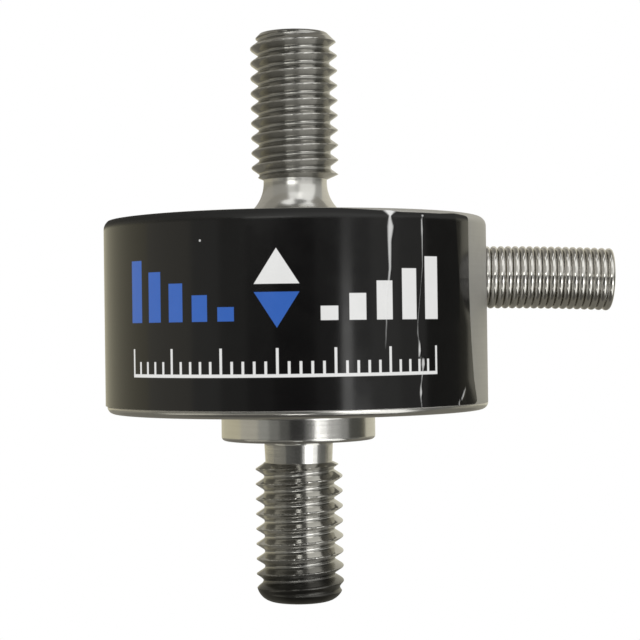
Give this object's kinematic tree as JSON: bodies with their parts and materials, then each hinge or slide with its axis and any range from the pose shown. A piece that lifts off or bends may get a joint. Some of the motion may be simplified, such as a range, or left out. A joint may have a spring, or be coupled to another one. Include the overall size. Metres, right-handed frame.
{
  "type": "miniature load cell",
  "caption": "Small in-line load cell: round steel body with a threaded stud at each end of the load axis, a film label round the wall and a coil-spring strain relief for its cable.",
  "frame": {"origin": "on the load axis, in the plane of the raised flange's face at the root of the lower stud", "axes": "+Z along the load axis towards the upper stud, +X along the cable outlet, away from the body"},
  "size_m": [0.0342, 0.0255, 0.038],
  "materials": {
    "stainless_steel": "turned satin",
    "label_film": "glossy black film",
    "spring_wire": "bright drawn wire",
    "bush_metal": "turned, dull",
    "board_laminate": "green solder mask",
    "gauge_foil": "amber film with metal foil",
    "lead_ribbon": "bare copper ribbon",
    "chip_ceramic": "glazed ceramic with tinned ends",
    "turret_plating": "gold plated"
  },
  "bodies": {
    "root": {"sensing_element": "stainless_steel", "base_plug": "stainless_steel", "label": "label_film", "strain_relief_spring": "spring_wire", "spring_ferrule": "bush_metal", "circuit_board": "board_laminate", "strain_gauge_1": "gauge_foil", "strain_gauge_2": "gauge_foil", "strain_gauge_3": "gauge_foil", "strain_gauge_4": "gauge_foil", "gauge_lead_1": "lead_ribbon", "gauge_lead_2": "lead_ribbon", "gauge_lead_3": "lead_ribbon", "gauge_lead_4": "lead_ribbon", "gauge_lead_5": "lead_ribbon", "gauge_lead_6": "lead_ribbon", "gauge_lead_7": "lead_ribbon", "gauge_lead_8": "lead_ribbon", "chip_resistor_1": "chip_ceramic", "chip_resistor_2": "chip_ceramic", "chip_resistor_3": "chip_ceramic", "chip_resistor_4": "chip_ceramic", "output_pin_1": "turret_plating", "output_pin_2": "turret_plating", "output_pin_3": "turret_plating", "output_pin_4": "turret_plating"}
  },
  "joints": []
}
